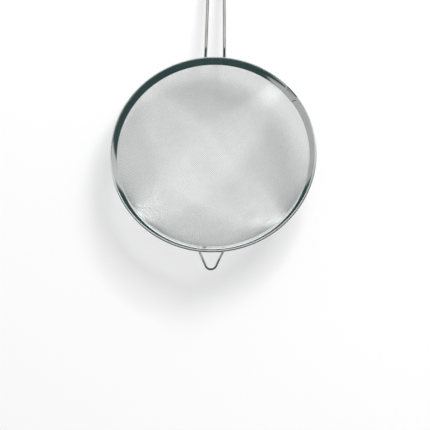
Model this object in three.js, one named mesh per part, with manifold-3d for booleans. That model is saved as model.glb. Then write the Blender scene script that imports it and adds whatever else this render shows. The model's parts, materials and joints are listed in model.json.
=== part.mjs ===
import * as THREE from 'three';
import { mergeVertices } from 'three/addons/utils/BufferGeometryUtils.js';
import Module from 'manifold-3d';

// A stainless wire-cloth sieve, lying on a table on its bowl and the end of its handle.
// The cloth bowl hangs from a folded steel band, and a hairpin handle and a small pot hook
// are welded to the outside of the band. Millimetres, +Z up, +Y towards the handle.

// Rim band
const RIM_DIAMETER = 180;
const RIM_HEIGHT = 5.1;
const WALL_LEAN = THREE.MathUtils.degToRad(54);
const STRIP_THICKNESS = 0.4;
const RIM_FLAT_WIDTH = 0.8;
const HOOP_WIRE_DIAMETER = 0.8;

// Lap where the two ends of the strip meet
const LAP_AZIMUTH = THREE.MathUtils.degToRad(38);
const LAP_LENGTH = 12;

// Wire cloth, as a skin with a plain grid of openings
const BOWL_DEPTH = 64;
const CLOTH_THICKNESS = 0.4;
const GRID_BAR_WIDTH = 3.6;
const OPENINGS_ACROSS = 12;

// Handle, a hairpin of one wire
const HANDLE_WIRE_DIAMETER = 3;
const HANDLE_LENGTH = 165;
const HANDLE_WIDTH = 16.2;
const HANDLE_END_RADIUS = 5.8;
const HANDLE_BEND_RADIUS = 3;

// Pot hook
const HOOK_WIRE_DIAMETER = 2;
const HOOK_REACH = 15;
const HOOK_WIDTH = 20.4;
const HOOK_TIP_RADIUS = 4.5;
const HOOK_BEND_RADIUS = 2;

// Clearance between neighbouring pieces, and the bare strip left under each welded foot
const FIT_GAP = 0.3;
const FOOT_SETBACK = 0.6;

// Fineness of the round shapes
const ROUND_STEPS = 64;
const BOWL_RINGS = 12;
const BEAD_STEPS = 3;
const HOOP_SIDES = 8;
const WIRE_SIDES = 10;
const FOOT_BEND_STEPS = 3;
const HAIRPIN_STEPS = 9;

const wasm = await Module();
wasm.setup();

// The rolled bead along the top of the band holds the hoop wire; the two legs below it hold the cloth
const hoopRadius = HOOP_WIRE_DIAMETER / 2;
const beadBore = hoopRadius + FIT_GAP;
const beadRadius = beadBore + STRIP_THICKNESS;
const legInside = CLOTH_THICKNESS / 2 + FIT_GAP;
const legOutside = legInside + STRIP_THICKNESS;
const flatHeight = Math.sqrt(beadRadius ** 2 - (RIM_FLAT_WIDTH / 2) ** 2);

// Wall frame in the half plane (radius, height): it starts at the bead's centre, with the rim's flat at 0
const beadCentre = new THREE.Vector2(RIM_DIAMETER / 2 - beadRadius, -flatHeight);
const wallUp = new THREE.Vector2(Math.sin(WALL_LEAN), Math.cos(WALL_LEAN));
const wallOut = new THREE.Vector2(Math.cos(WALL_LEAN), -Math.sin(WALL_LEAN));
const legLength = (RIM_HEIGHT - flatHeight) / Math.cos(WALL_LEAN);

/** Point of the half plane that lies up the wall and out from it, measured from the bead's centre. */
function onWall(up, out) {
  return beadCentre.clone().addScaledVector(wallUp, up).addScaledVector(wallOut, out);
}

/** Closed indexed geometry with shared vertices merged and no collapsed triangles. */
function closed(geometry) {
  const bare = new THREE.BufferGeometry();
  bare.setAttribute('position', geometry.getAttribute('position'));
  bare.setIndex(geometry.getIndex());
  const merged = mergeVertices(bare, 1e-4);
  const corners = merged.getIndex().array;
  const kept = [];
  for (let i = 0; i < corners.length; i += 3) {
    const [a, b, c] = corners.slice(i, i + 3);
    if (a !== b && b !== c && c !== a) kept.push(a, b, c);
  }
  merged.setIndex(kept);
  return merged;
}

/** Solid for joining and cutting. */
function toSolid(geometry) {
  const { attributes, index } = closed(geometry);
  const mesh = new wasm.Mesh({
    numProp: 3,
    vertProperties: new Float32Array(attributes.position.array),
    triVerts: new Uint32Array(index.array),
  });
  return new wasm.Manifold(mesh);
}

/** Geometry of a joined or cut solid. */
function fromSolid(solid) {
  const mesh = solid.getMesh();
  const geometry = new THREE.BufferGeometry();
  geometry.setAttribute('position', new THREE.BufferAttribute(mesh.vertProperties, 3));
  geometry.setIndex(new THREE.BufferAttribute(mesh.triVerts, 1));
  return geometry;
}

/** Profile of (radius, height) points turned about the Z axis, with the middle of a facet towards the handle. */
function turned(profile) {
  return new THREE.LatheGeometry(profile, ROUND_STEPS, Math.PI / ROUND_STEPS).rotateX(Math.PI / 2);
}

/** Section of the folded strip: two legs and the rolled bead, thicker outside and longer inside by the cover. */
function bandSection(cover) {
  const outer = beadRadius + cover;
  const face = legOutside + cover;
  const foot = -legLength;
  const lip = foot - cover;
  const neck = Math.sqrt(outer ** 2 - face ** 2);
  const throat = Math.sqrt(beadBore ** 2 - legInside ** 2);
  const neckAngle = Math.atan2(neck, face);
  const throatAngle = Math.atan2(throat, legInside);
  const flatAngle = Math.acos(flatHeight / outer);
  const { x, y } = beadCentre;
  const upright = Math.PI / 2;
  const section = new THREE.Path();
  const line = (up, out) => section.lineTo(...onWall(up, out).toArray());
  section.moveTo(...onWall(lip, -face).toArray());
  section.absarc(x, y, outer, Math.PI - WALL_LEAN + neckAngle, upright + flatAngle, true);
  section.absarc(x, y, outer, upright - flatAngle, -WALL_LEAN - neckAngle, true);
  line(foot, face);
  line(foot, legInside);
  section.absarc(x, y, beadBore, -WALL_LEAN - throatAngle, Math.PI - WALL_LEAN + throatAngle, false);
  line(lip, -legInside);
  section.closePath();
  return section.getPoints(BEAD_STEPS).reverse();
}

/** Band: the folded strip, with a second thickness over the lap of its ends. */
function rimBand() {
  const strip = toSolid(turned(bandSection(0)));
  const cover = toSolid(turned(bandSection(STRIP_THICKNESS)));
  const lapDepth = 3 * legLength;
  const lap = new THREE.BoxGeometry(lapDepth, LAP_LENGTH, lapDepth);
  lap.translate(beadCentre.x, 0, 0).rotateZ(LAP_AZIMUTH);
  return fromSolid(strip.add(cover.intersect(toSolid(lap))));
}

/** Stiffening hoop inside the bead. */
function rimHoop() {
  const section = new THREE.EllipseCurve(beadCentre.x, beadCentre.y, hoopRadius, hoopRadius);
  return closed(turned(section.getPoints(HOOP_SIDES)));
}

// The cloth's middle surface is a ball from the bowl's bottom to the band, then it follows the wall
const bandFoot = onWall(-legLength, 0);
const capHeight = BOWL_DEPTH + bandFoot.y;
const ballRadius = (bandFoot.x ** 2 + capHeight ** 2) / (2 * capHeight);
const ballCentreHeight = ballRadius - BOWL_DEPTH;
const capAngle = Math.atan2(bandFoot.x, ballCentreHeight - bandFoot.y);

/** Closed skin of the cloth from its bottom to its edge under the hoop. */
function clothSkin() {
  const half = CLOTH_THICKNESS / 2;
  const edge = onWall(-hoopRadius - FIT_GAP, 0);
  const outside = [];
  const inside = [];
  for (let ring = 0; ring <= BOWL_RINGS; ring += 1) {
    const angle = (capAngle * ring) / BOWL_RINGS;
    const ray = new THREE.Vector2(Math.sin(angle), -Math.cos(angle));
    const point = new THREE.Vector2(0, ballCentreHeight).addScaledVector(ray, ballRadius);
    const normal = ring < BOWL_RINGS ? ray : ray.clone().add(wallOut).normalize();
    outside.push(point.clone().addScaledVector(normal, half));
    inside.unshift(point.clone().addScaledVector(normal, -half));
  }
  outside.push(edge.clone().addScaledVector(wallOut, half));
  inside.unshift(edge.clone().addScaledVector(wallOut, -half));
  return toSolid(turned([...outside, ...inside]));
}

/** Upright plates across the bowl, thinner towards the rim so that each leaves a bar of one width on the ball. */
function barPlates() {
  const barAngle = GRID_BAR_WIDTH / ballRadius;
  const plates = [];
  for (let bar = 1; bar < OPENINGS_ACROSS; bar += 1) {
    const angle = capAngle * ((2 * bar) / OPENINGS_ACROSS - 1);
    const start = ballRadius * Math.sin(angle - barAngle / 2);
    const end = ballRadius * Math.sin(angle + barAngle / 2);
    const plate = new THREE.BoxGeometry(end - start, RIM_DIAMETER, 2 * BOWL_DEPTH);
    plates.push(plate.translate((start + end) / 2, 0, -BOWL_DEPTH));
  }
  return plates;
}

/** Bowl: the cloth's skin, cut to a plain edge under the rim and a grid of bars one way and the other. */
function meshBowl() {
  const edgeDepth = GRID_BAR_WIDTH / 2 - bandFoot.y;
  const plainEdge = new THREE.BoxGeometry(RIM_DIAMETER, RIM_DIAMETER, edgeDepth).translate(0, 0, -edgeDepth / 2);
  const crossPlates = barPlates().map((plate) => plate.rotateZ(Math.PI / 2));
  const kept = [plainEdge, ...barPlates(), ...crossPlates].map(toSolid).reduce((all, next) => all.add(next));
  return closed(fromSolid(clothSkin().intersect(kept)));
}

/** Path with a station at each given point, so that straight runs need no steps between their ends. */
class WirePath extends THREE.Curve {
  constructor(stations) {
    super();
    this.stations = stations;
    this.runs = stations.length - 1;
  }

  getPointAt(t, target = new THREE.Vector3()) {
    return target.copy(this.stations[Math.round(t * this.runs)]);
  }

  getTangentAt(t, target = new THREE.Vector3()) {
    const station = Math.round(t * this.runs);
    const here = this.stations[station];
    target.set(0, 0, 0);
    if (station > 0) {
      target.add(here.clone().sub(this.stations[station - 1]).normalize());
    }
    if (station < this.runs) {
      target.add(this.stations[station + 1].clone().sub(here).normalize());
    }
    return target.normalize();
  }
}

/** Round wire along the stations, with flat ends. */
function wire(stations, diameter) {
  const section = new THREE.Shape();
  section.absarc(0, 0, diameter / 2, 0, 2 * Math.PI, false);
  const path = new WirePath(stations);
  const options = {
    steps: path.runs,
    curveSegments: WIRE_SIDES / 2,
    extrudePath: path,
  };
  return closed(new THREE.ExtrudeGeometry(section, options));
}

/** Points of the round bend that cuts off a corner. */
function bend(before, corner, after, radius, steps) {
  const back = before.clone().sub(corner).normalize();
  const ahead = after.clone().sub(corner).normalize();
  const halfAngle = back.angleTo(ahead) / 2;
  const middle = back.clone().add(ahead).normalize();
  const centre = corner.clone().addScaledVector(middle, radius / Math.sin(halfAngle));
  const start = corner.clone().addScaledVector(back, radius / Math.tan(halfAngle)).sub(centre);
  const turn = Math.PI - 2 * halfAngle;
  const axis = new THREE.Vector3().crossVectors(ahead, back).normalize();
  const points = [];
  for (let step = 0; step <= steps; step += 1) {
    const arm = start.clone().applyAxisAngle(axis, (turn * step) / steps);
    points.push(arm.add(centre));
  }
  return points;
}

/** Foot of a wire along the outside of the band: its lower end, and the corner where the wire leaves. */
function foot(wireRadius, bendRadius, offset, side) {
  const out = legOutside + FIT_GAP + wireRadius;
  const clear = bendRadius + beadRadius + FIT_GAP + wireRadius;
  const bendStart = -Math.sqrt(clear ** 2 - (out + bendRadius) ** 2);
  const cornerUp = bendStart + bendRadius * Math.tan((Math.PI / 2 - WALL_LEAN) / 2);
  const low = onWall(-legLength + FOOT_SETBACK, out);
  const corner = onWall(cornerUp, out);
  const azimuth = Math.asin(offset / corner.x);
  const place = ({ x, y }) => new THREE.Vector3(x * Math.sin(azimuth), side * x * Math.cos(azimuth), y);
  return { end: place(low), corner: place(corner) };
}

/** Hairpin of one wire: a foot on the band, a leg out to a round tip, and the same back again. */
function hairpin({ diameter, reach, width, tipRadius, bendRadius, side }) {
  const wireRadius = diameter / 2;
  const { end, corner } = foot(wireRadius, bendRadius, width / 2, side);
  const tip = RIM_DIAMETER / 2 + reach - wireRadius;
  const centre = new THREE.Vector3(0, side * (tip - tipRadius), corner.z);
  const run = corner.distanceTo(centre);
  const legAngle = Math.asin(corner.x / run) - Math.asin(tipRadius / run);
  const tangent = new THREE.Vector3(Math.cos(legAngle), side * Math.sin(legAngle), 0);
  tangent.multiplyScalar(tipRadius).add(centre);
  const half = [end, ...bend(end, corner, tangent, bendRadius, FOOT_BEND_STEPS)];
  const sweep = Math.PI / 2 - legAngle;
  for (let step = 0; step < HAIRPIN_STEPS / 2; step += 1) {
    const angle = legAngle + (2 * sweep * step) / HAIRPIN_STEPS;
    const arm = new THREE.Vector3(Math.cos(angle), side * Math.sin(angle), 0);
    half.push(arm.multiplyScalar(tipRadius).add(centre));
  }
  const mirrored = half.toReversed().map(({ x, y, z }) => new THREE.Vector3(-x, y, z));
  return { tip, height: corner.z, geometry: wire([...half, ...mirrored], diameter) };
}

const handle = hairpin({
  diameter: HANDLE_WIRE_DIAMETER,
  reach: HANDLE_LENGTH,
  width: HANDLE_WIDTH,
  tipRadius: HANDLE_END_RADIUS,
  bendRadius: HANDLE_BEND_RADIUS,
  side: 1,
});
const hook = hairpin({
  diameter: HOOK_WIRE_DIAMETER,
  reach: HOOK_REACH,
  width: HOOK_WIDTH,
  tipRadius: HOOK_TIP_RADIUS,
  bendRadius: HOOK_BEND_RADIUS,
  side: -1,
});

/** Named piece with a steel of its own. */
function piece(name, geometry, color, roughness) {
  const steel = new THREE.MeshStandardMaterial({ color, roughness, metalness: 1 });
  const mesh = new THREE.Mesh(geometry, steel);
  mesh.name = name;
  return mesh;
}

const sieve = new THREE.Group();
sieve.add(
  piece('mesh_bowl', meshBowl(), 0xc6c7c3, 0.35),
  piece('rim_band', rimBand(), 0xb9bdbb, 0.12),
  piece('rim_hoop_wire', rimHoop(), 0xa9aaa7, 0.4),
  piece('handle_wire', handle.geometry, 0xb7b8b5, 0.2),
  piece('hook_wire', hook.geometry, 0xb1b2ae, 0.22),
);

// The sieve tips until the bowl and the tip of the handle both touch the table
const drop = ballCentreHeight - handle.height;
const lift = ballRadius + CLOTH_THICKNESS / 2 - HANDLE_WIRE_DIAMETER / 2;
const restTilt = Math.atan2(handle.tip, drop) - Math.acos(lift / Math.hypot(handle.tip, drop));
sieve.rotation.x = -restTilt;

// Origin on the table, under the middle of the sieve
const box = new THREE.Box3().setFromObject(sieve, true);
sieve.position.set(0, -(box.min.y + box.max.y) / 2, -box.min.z);

const part = new THREE.Group();
part.add(sieve);

export default part;
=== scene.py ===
"""A stainless wire-cloth sieve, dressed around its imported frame.

The bowl is woven wire by wire, the band is a folded strip with a lap, and the handle and the pot
hook are bent wires with welded feet. Shapes are worked out in millimetres in the rim's own frame,
with the flat of the rim at height 0 and +Y towards the handle, and placed in metres.
"""

import json
import logging
import math
from dataclasses import dataclass, replace
from enum import Enum
from typing import Any, Sequence

import bpy
import numpy as np
from mathutils import Matrix, Vector


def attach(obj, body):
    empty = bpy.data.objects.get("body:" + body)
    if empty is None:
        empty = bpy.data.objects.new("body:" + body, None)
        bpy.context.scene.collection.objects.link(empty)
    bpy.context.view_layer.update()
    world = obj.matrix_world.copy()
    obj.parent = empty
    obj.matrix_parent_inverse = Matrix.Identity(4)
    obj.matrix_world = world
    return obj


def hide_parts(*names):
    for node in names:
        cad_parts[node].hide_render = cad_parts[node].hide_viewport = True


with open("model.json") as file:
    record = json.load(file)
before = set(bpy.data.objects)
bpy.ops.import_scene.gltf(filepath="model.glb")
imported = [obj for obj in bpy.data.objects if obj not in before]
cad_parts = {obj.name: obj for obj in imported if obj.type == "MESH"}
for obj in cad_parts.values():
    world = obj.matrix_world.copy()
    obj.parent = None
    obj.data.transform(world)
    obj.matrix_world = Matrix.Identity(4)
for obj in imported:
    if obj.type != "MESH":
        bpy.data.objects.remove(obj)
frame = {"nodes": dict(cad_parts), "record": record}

LOG = logging.getLogger("sieve")
MM = 0.001
BODY = "root"
SHARP_FOLD = math.radians(40.0)
Colour = tuple[float, float, float]


class Slot(Enum):
    """Material slots of the record."""

    CLOTH = "wire_cloth"
    BAND = "polished_band"
    WIRE = "drawn_wire"


class Family(Enum):
    """The two directions of the cloth's wires."""

    WARP = "warp"
    WEFT = "weft"


class Rays(Enum):
    """What a lamp does: it lights matt sheets, or it shows in the cloth's steel.

    The value is the kind of ray that the lamp is hidden from.
    """

    MATT = "glossy"
    SHEEN = "diffuse"


class Side(Enum):
    """Side of the rim that a bent wire is welded to."""

    HANDLE = 1
    HOOK = -1


class NodeTree:
    """Builds a shader or geometry node tree, node by node."""

    def __init__(self, tree: bpy.types.NodeTree) -> None:
        """Start on a tree.

        Args:
            tree: the tree that the nodes go into.
        """
        self.tree = tree

    def node(self, kind: str, inputs: dict | None = None, **settings: Any) -> bpy.types.Node:
        """Add a node.

        Args:
            kind: Blender's name of the node type.
            inputs: value or output socket for each input, by name or by place.
            settings: the node's own properties.

        Returns:
            The new node.
        """
        made = self.tree.nodes.new(kind)
        for name, value in settings.items():
            setattr(made, name, value)
        for key, value in (inputs or {}).items():
            if isinstance(value, bpy.types.NodeSocket):
                self.tree.links.new(value, made.inputs[key])
            else:
                made.inputs[key].default_value = value
        return made

    def math(self, operation: str, *values: Any) -> bpy.types.NodeSocket:
        """Add a Math node.

        Args:
            operation: the sum to do.
            values: its numbers or sockets.

        Returns:
            The node's result.
        """
        return self.node("ShaderNodeMath", dict(enumerate(values)), operation=operation).outputs[0]

    def mix(self, share: Any, first: Any, second: Any) -> bpy.types.NodeSocket:
        """Mix two colours.

        Args:
            share: share of the second colour.
            first: colour where the share is 0.
            second: colour where the share is 1.

        Returns:
            The mixed colour.
        """
        inputs = {0: share, 6: first, 7: second}
        return self.node("ShaderNodeMix", inputs, data_type="RGBA").outputs[2]

    def spread(
        self, value: Any, low: float, high: float, start: float = 0.0, end: float = 1.0
    ) -> bpy.types.NodeSocket:
        """Spread a value over a range.

        Args:
            value: the socket to read.
            low: result at the start.
            high: result at the end.
            start: value that gives the low result.
            end: value that gives the high result.

        Returns:
            The spread value.
        """
        inputs = {0: value, 1: start, 2: end, 3: low, 4: high}
        return self.node("ShaderNodeMapRange", inputs).outputs[0]


class GeometryTree(NodeTree):
    """A Geometry Nodes tree with named inputs, run once on a piece."""

    def __init__(self, name: str) -> None:
        """Start an empty tree.

        Args:
            name: name of the tree.
        """
        super().__init__(bpy.data.node_groups.new(name, "GeometryNodeTree"))
        self.tree.interface.new_socket("Geometry", in_out="INPUT", socket_type="NodeSocketGeometry")
        self.tree.interface.new_socket("Geometry", in_out="OUTPUT", socket_type="NodeSocketGeometry")
        self.group = self.tree.nodes.new("NodeGroupInput")
        self.identifiers: dict[str, str] = {}

    def number(self, name: str) -> bpy.types.NodeSocket:
        """Add a named size.

        Args:
            name: name of the input.

        Returns:
            The socket to link from.
        """
        return self._input(name, "NodeSocketFloat")

    def count(self, name: str) -> bpy.types.NodeSocket:
        """Add a named count.

        Args:
            name: name of the input.

        Returns:
            The socket to link from.
        """
        return self._input(name, "NodeSocketInt")

    def finish(self, name: str) -> bpy.types.NodeSocket:
        """Add a named material.

        Args:
            name: name of the input.

        Returns:
            The socket to link from.
        """
        return self._input(name, "NodeSocketMaterial")

    def _input(self, name: str, kind: str) -> bpy.types.NodeSocket:
        """Add a named input.

        Args:
            name: name of the input.
            kind: Blender's name of the socket type.

        Returns:
            The socket to link from.
        """
        made = self.tree.interface.new_socket(name, in_out="INPUT", socket_type=kind)
        self.identifiers[name] = made.identifier
        return self.group.outputs[name]

    def named(self, name: str, kind: str) -> bpy.types.NodeSocket:
        """Read a named attribute.

        Args:
            name: name of the attribute.
            kind: Blender's name of its data type.

        Returns:
            Its values.
        """
        inputs = {"Name": name}
        return self.node("GeometryNodeInputNamedAttribute", inputs, data_type=kind).outputs[0]

    def keep(self, geometry: bpy.types.NodeSocket, name: str, value: Any, kind: str) -> bpy.types.NodeSocket:
        """Keep values at the points under a name.

        Args:
            geometry: the shape that has the points.
            name: name of the attribute.
            value: the values.
            kind: Blender's name of their data type.

        Returns:
            The shape with the attribute.
        """
        inputs = {"Geometry": geometry, "Name": name, "Value": value}
        settings = {"data_type": kind, "domain": "POINT"}
        return self.node("GeometryNodeStoreNamedAttribute", inputs, **settings).outputs[0]

    def close(self, geometry: bpy.types.NodeSocket, finish: bpy.types.NodeSocket) -> None:
        """End the tree in smooth, realized and dressed geometry.

        Args:
            geometry: the finished shape.
            finish: the material input.
        """
        smooth = self.node("GeometryNodeSetShadeSmooth", {0: geometry})
        real = self.node("GeometryNodeRealizeInstances", {0: smooth.outputs[0]})
        dressed = self.node("GeometryNodeSetMaterial", {0: real.outputs[0], 2: finish})
        self.node("NodeGroupOutput", {0: dressed.outputs[0]})

    def run(self, base: bpy.types.Mesh, name: str, values: dict[str, Any]) -> bpy.types.Mesh:
        """Run the tree on a base mesh.

        Args:
            base: mesh that the modifier sits on.
            name: name of the result.
            values: value of each named input.

        Returns:
            The result as a plain mesh.
        """
        carrier = bpy.data.objects.new(name + "_carrier", base)
        bpy.context.scene.collection.objects.link(carrier)
        modifier = carrier.modifiers.new("shape", "NODES")
        modifier.node_group = self.tree
        for key, value in values.items():
            modifier[self.identifiers[key]] = value
        depsgraph = bpy.context.evaluated_depsgraph_get()
        mesh = bpy.data.meshes.new_from_object(carrier.evaluated_get(depsgraph), depsgraph=depsgraph)
        mesh.name = name
        carrier.modifiers.remove(modifier)
        bpy.data.objects.remove(carrier)
        return mesh


@dataclass(frozen=True)
class RimFrame:
    """Where the rim stands.

    Attributes:
        matrix: takes millimetres about the rim's centre to metres on the table.
    """

    matrix: Matrix

    @classmethod
    def from_record(cls, record: dict) -> "RimFrame":
        """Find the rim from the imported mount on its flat.

        Args:
            record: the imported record.

        Returns:
            The rim's frame.
        """
        mount = next(m for m in record["mounts"] if m["name"] == "rim_top")
        up = Vector(mount["axis"]).normalized()
        across = Vector((1.0, 0.0, 0.0))
        along = up.cross(across)
        centre = Vector((0.0, *mount["pos_m"][1:]))
        turn = Matrix((across, along, up)).transposed().to_4x4()
        return cls(Matrix.Translation(centre) @ turn @ Matrix.Scale(MM, 4))

    def centre(self) -> Vector:
        """Return the rim's centre in metres."""
        return self.matrix.to_translation()

    def piece(self, name: str, mesh: bpy.types.Mesh, slot: Slot, *nodes: str) -> bpy.types.Object:
        """Place a finished mesh as a piece of the sieve.

        Args:
            name: name of the piece.
            mesh: its mesh in millimetres in the rim's frame.
            slot: material slot of the piece; not used.
            nodes: part nodes that it stands for.

        Returns:
            The piece.
        """
        mesh.transform(self.matrix)
        made = bpy.data.objects.new(name, mesh)
        bpy.context.scene.collection.objects.link(made)
        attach(made, BODY)
        if nodes:
            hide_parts(*nodes)
        mesh.calc_loop_triangles()
        LOG.info("%s: %d triangles", name, len(mesh.loop_triangles))
        return made


@dataclass(frozen=True)
class RimShape:
    """Section of the rim and the bowl, in the half plane of radius and height.

    The round sizes are a hair under the part's, so that they stay inside its facets.

    Attributes:
        diameter: width of the rim over its bead.
        height: height of the band.
        lean: angle between the wall and the upright.
        crown: angle that the wall turns through from its foot to the bead.
        strip: thickness of the strip.
        flat_width: width of the flat on the bead.
        hoop_wire: diameter of the hoop's wire.
        cloth_room: room between the folds for the cloth.
        fit_gap: gap between pieces that meet.
        bowl_depth: depth of the bowl below the rim's flat.
    """

    diameter: float = 179.7
    height: float = 4.4
    lean: float = math.radians(54.0)
    crown: float = math.radians(16.0)
    strip: float = 0.4
    flat_width: float = 0.8
    hoop_wire: float = 0.8
    cloth_room: float = 0.4
    fit_gap: float = 0.12
    bowl_depth: float = 63.7

    @property
    def bead_bore(self) -> float:
        """Radius inside the rolled bead."""
        return self.hoop_wire / 2 + self.fit_gap

    @property
    def bead_radius(self) -> float:
        """Radius outside the rolled bead."""
        return self.bead_bore + self.strip

    @property
    def leg_inside(self) -> float:
        """Distance from the cloth's middle to the leg's near face."""
        return self.cloth_room / 2 + self.fit_gap

    @property
    def leg_outside(self) -> float:
        """Distance from the cloth's middle to the leg's far face."""
        return self.leg_inside + self.strip

    @property
    def flat_height(self) -> float:
        """Height of the flat over the bead's centre."""
        return math.sqrt(self.bead_radius**2 - (self.flat_width / 2) ** 2)

    @property
    def bead_centre(self) -> np.ndarray:
        """Centre of the bead."""
        return np.array([self.diameter / 2 - self.bead_radius, -self.flat_height])

    @property
    def leg_length(self) -> float:
        """Length of the legs below the bead's centre."""
        return (self.height - self.flat_height) / math.cos(self.lean)

    @property
    def cap_angle(self) -> float:
        """Angle of the ball's part of the cloth, from the bottom to the band."""
        foot = self.on_wall(-self.leg_length, 0.0)
        return math.atan2(foot[0], self.ball_height - foot[1])

    @property
    def ball_radius(self) -> float:
        """Radius of the ball that the bowl follows."""
        foot = self.on_wall(-self.leg_length, 0.0)
        rise = self.bowl_depth + foot[1]
        return (foot[0] ** 2 + rise**2) / (2 * rise)

    @property
    def ball_height(self) -> float:
        """Height of the ball's centre."""
        return self.ball_radius - self.bowl_depth

    def on_wall(self, up: float, out: float) -> np.ndarray:
        """Point up the wall and out from it, measured from the bead's centre.

        Args:
            up: distance up the wall.
            out: distance out from the middle of the cloth.

        Returns:
            Radius and height of the point.
        """
        sine, cosine = math.sin(self.lean), math.cos(self.lean)
        part = up / self.leg_length
        bulge = -self.leg_length * self.crown / 2 * part * (1 + part) if -1 < part < 0 else 0.0
        along = up * np.array([sine, cosine])
        return self.bead_centre + along - bulge * np.array([cosine, -sine]) + out * self.wall_out(up)

    def wall_out(self, up: float) -> np.ndarray:
        """Direction out from the wall, which is crowned a little towards the inside.

        Args:
            up: distance up the wall.

        Returns:
            Unit direction, radius and height.
        """
        part = min(max(up / self.leg_length, -1.0), 0.0)
        lean = self.lean + self.crown * (0.5 + part)
        return np.array([math.cos(lean), -math.sin(lean)])


@dataclass(frozen=True)
class Steel:
    """A steel finish with grain, clouding and a heat tint at the welds.

    Attributes:
        name: name of the material.
        light: colour of the clean steel.
        dull: colour in the clouded places.
        smooth: roughness of the polished places.
        rough: roughness of the dull places.
        grain: name of the attribute that the grain runs along.
        grain_scale: grain lines to the attribute's unit of length, along its axes.
        grain_depth: depth of the grain in metres.
        cloud_scale: clouds to the metre.
    """

    name: str
    light: Colour
    dull: Colour
    smooth: float
    rough: float
    grain: str
    grain_scale: tuple[float, float, float]
    grain_depth: float
    cloud_scale: float

    def material(self) -> bpy.types.Material:
        """Build the material.

        Returns:
            The material.
        """
        made = bpy.data.materials.new(self.name)
        made.use_nodes = True
        tree = NodeTree(made.node_tree)
        shader = made.node_tree.nodes["Principled BSDF"]
        shader.inputs["Metallic"].default_value = 1.0
        place = tree.node("ShaderNodeTexCoord").outputs["Object"]
        cloud = tree.node(
            "ShaderNodeTexNoise",
            {"Vector": place, "Scale": self.cloud_scale, "Detail": 4.0, "Roughness": 0.6},
        ).outputs[0]
        track = tree.node("ShaderNodeAttribute", attribute_name=self.grain).outputs["Vector"]
        lined = tree.node("ShaderNodeMapping", {"Vector": track, "Scale": self.grain_scale}).outputs[0]
        grain = tree.node(
            "ShaderNodeTexNoise",
            {"Vector": lined, "Scale": 1.0, "Detail": 3.0, "Roughness": 0.65},
        ).outputs[0]
        colour = tree.mix(tree.spread(cloud, 0.0, 1.0, 0.35, 0.7), (*self.light, 1), (*self.dull, 1))
        lines = tree.spread(grain, 0.0, 1.0, 0.3, 0.75)
        worn = tree.math("MULTIPLY", lines, tree.spread(cloud, 0.5, 1.0, 0.3, 0.7))
        heat = tree.node("ShaderNodeAttribute", attribute_name="weld_heat").outputs["Fac"]
        tint = tree.node("ShaderNodeValToRGB", {0: heat}).outputs[0]
        self._tint_stops(tint.node.color_ramp)
        colour = tree.mix(tree.spread(heat, 0.0, 0.75, 0.08, 0.5), colour, tint)
        made.node_tree.links.new(colour, shader.inputs["Base Color"])
        scale = tree.math("MULTIPLY", heat, 0.15)
        roughness = tree.math("ADD", tree.spread(worn, self.smooth, self.rough), scale)
        made.node_tree.links.new(roughness, shader.inputs["Roughness"])
        bump = tree.node("ShaderNodeBump", {"Height": grain, "Strength": 0.4, "Distance": self.grain_depth})
        made.node_tree.links.new(bump.outputs[0], shader.inputs["Normal"])
        return made

    @staticmethod
    def _tint_stops(ramp: bpy.types.ColorRamp) -> None:
        """Set the colours of heated steel, from straw to dark.

        Args:
            ramp: the ramp to set.
        """
        stops = (
            (0.0, (0.60, 0.55, 0.45)),
            (0.35, (0.50, 0.38, 0.22)),
            (0.65, (0.24, 0.19, 0.20)),
            (1.0, (0.12, 0.12, 0.13)),
        )
        while len(ramp.elements) < len(stops):
            ramp.elements.new(0.5)
        for element, (place, colour) in zip(ramp.elements, stops):
            element.position = place
            element.color = (*colour, 1.0)


BAND_STEEL = Steel(
    name="polished_band",
    light=(0.90, 0.93, 0.92),
    dull=(0.82, 0.85, 0.84),
    smooth=0.06,
    rough=0.16,
    grain="strip_place",
    grain_scale=(0.06, 9.0, 1.0),
    grain_depth=4e-6,
    cloud_scale=55.0,
)
WIRE_STEEL = Steel(
    name="drawn_wire",
    light=(0.55, 0.55, 0.535),
    dull=(0.46, 0.46, 0.45),
    smooth=0.06,
    rough=0.15,
    grain="wire_place",
    grain_scale=(5.0, 5.0, 0.05),
    grain_depth=5e-6,
    cloud_scale=80.0,
)
HOOP_STEEL = replace(WIRE_STEEL, name="hoop_wire", grain="position", grain_scale=(900.0, 900.0, 900.0))
CLOTH_STEEL = Steel(
    name="wire_cloth",
    light=(0.635, 0.65, 0.645),
    dull=(0.54, 0.557, 0.552),
    smooth=0.28,
    rough=0.40,
    grain="wire_place",
    grain_scale=(9.0, 9.0, 0.2),
    grain_depth=2e-6,
    cloud_scale=70.0,
)


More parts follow.
